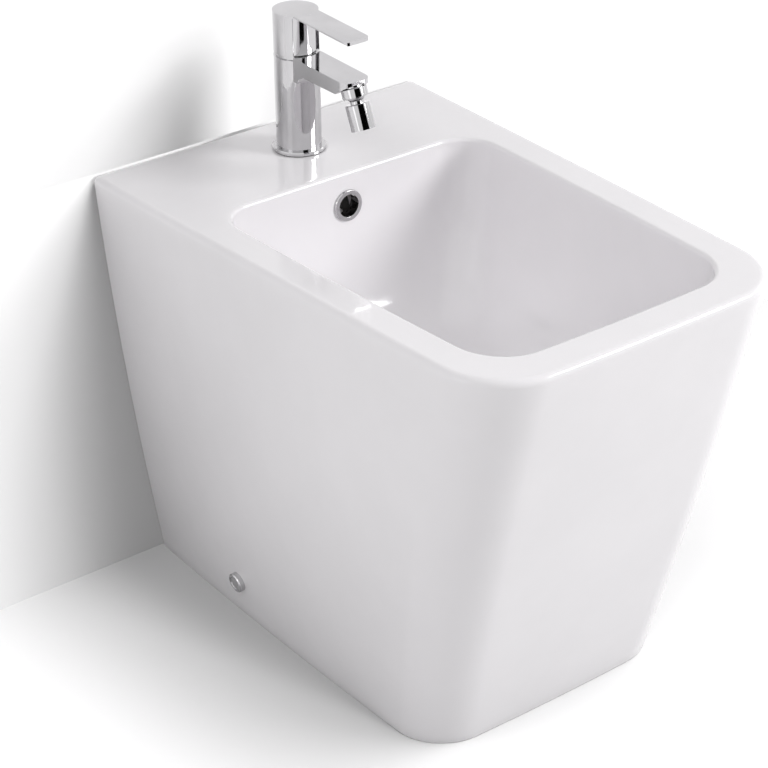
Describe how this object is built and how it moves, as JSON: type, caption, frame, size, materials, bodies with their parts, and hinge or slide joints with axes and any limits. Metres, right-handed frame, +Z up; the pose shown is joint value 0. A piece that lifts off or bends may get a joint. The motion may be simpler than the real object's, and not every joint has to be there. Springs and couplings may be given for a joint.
{
  "type": "floor standing bidet",
  "caption": "Back to wall ceramic bidet with a tapering skirt, deep bowl with overflow, and a single-lever deck mixer with swivel nozzle.",
  "frame": {"origin": "on the floor, in the middle of the plan", "axes": "+Z up, +Y towards the wall, +X to the right of someone facing the wall; the front of the bowl faces -Y"},
  "size_m": [0.3586, 0.5284, 0.5365],
  "materials": {
    "ceramic": "glazed, glossy white",
    "chrome": "polished chrome plate",
    "steel": "plain stainless steel",
    "brass": "plain turned brass",
    "rubber": "black rubber",
    "plastic": "moulded white plastic",
    "grey_plastic": "moulded grey plastic",
    "disc": "lapped, matte ivory"
  },
  "bodies": {
    "body": {"ceramic_body": "ceramic", "overflow_ring": "chrome", "base_gasket": "rubber", "base_ring": "chrome", "tap_body": "chrome", "inlet_bushes": "brass", "cartridge_seals": "rubber", "cartridge_base": "grey_plastic", "fixed_disc": "disc", "cartridge_housing": "grey_plastic", "cartridge_nut": "brass", "dome_ring": "chrome", "outlet_collar": "chrome", "fixing_stud": "steel", "horseshoe_gasket": "rubber", "horseshoe_plate": "steel", "stud_nut": "brass", "waste_top_seal": "rubber", "waste_body": "chrome", "waste_cone_seal": "rubber", "waste_backnut": "brass", "click_core": "brass", "trap_inlet_nut": "plastic", "trap_tube": "plastic", "trap_neck_nut": "plastic", "trap_bottle": "plastic", "trap_cup_seal": "rubber", "trap_cup": "plastic", "trap_outlet_nut": "plastic", "trap_outlet_pipe": "plastic", "bracket_left": "steel", "bracket_right": "steel", "fixing_sleeves": "plastic", "fixing_screws": "steel", "cover_cap_left": "chrome", "cover_cap_right": "chrome"},
    "turret": {"cartridge_turret": "grey_plastic", "pivot_pin": "steel"},
    "lever": {"handle": "chrome", "cartridge_spindle": "brass", "grub_screw": "steel", "screw_plug": "chrome"},
    "disc": {"moving_disc": "disc", "disc_carrier": "grey_plastic"},
    "seat": {"ball_seat": "grey_plastic"},
    "nozzle": {"swivel_ball": "chrome", "nozzle_shell": "chrome", "aerator_washer": "rubber", "aerator_insert": "grey_plastic"},
    "plug": {"waste_plug": "chrome", "plug_seal": "rubber"}
  },
  "joints": [
    {"name": "handle_swivel", "type": "hinge", "parent": "body", "child": "turret", "pos_m": [0, 0.2, 0.49], "axis": [0, 0, 1], "range_deg": [-45, 45]},
    {"name": "handle_lift", "type": "hinge", "parent": "turret", "child": "lever", "pos_m": [0, 0.2, 0.498], "axis": [-1, 0, 0], "range_deg": [0, 22]},
    {"name": "disc_slide", "type": "slide", "parent": "turret", "child": "disc", "axis": [0, -1, 0], "range_m": [0, 0.0049]},
    {"name": "nozzle_spin", "type": "hinge", "parent": "body", "child": "seat", "pos_m": [0, 0.115, 0.4835], "axis": [0, -0.3746, -0.9272], "continuous": true},
    {"name": "nozzle_tilt", "type": "hinge", "parent": "seat", "child": "nozzle", "pos_m": [0, 0.115, 0.4835], "axis": [1, 0, 0], "range_deg": [-15, 15]},
    {"name": "plug_slide", "type": "slide", "parent": "body", "child": "plug", "axis": [0, 0, 1], "range_m": [0, 0.008]}
  ],
  "couplings": [
    {"joint": "disc_slide", "follows": "handle_lift", "m_per_rad": 0.01239}
  ]
}
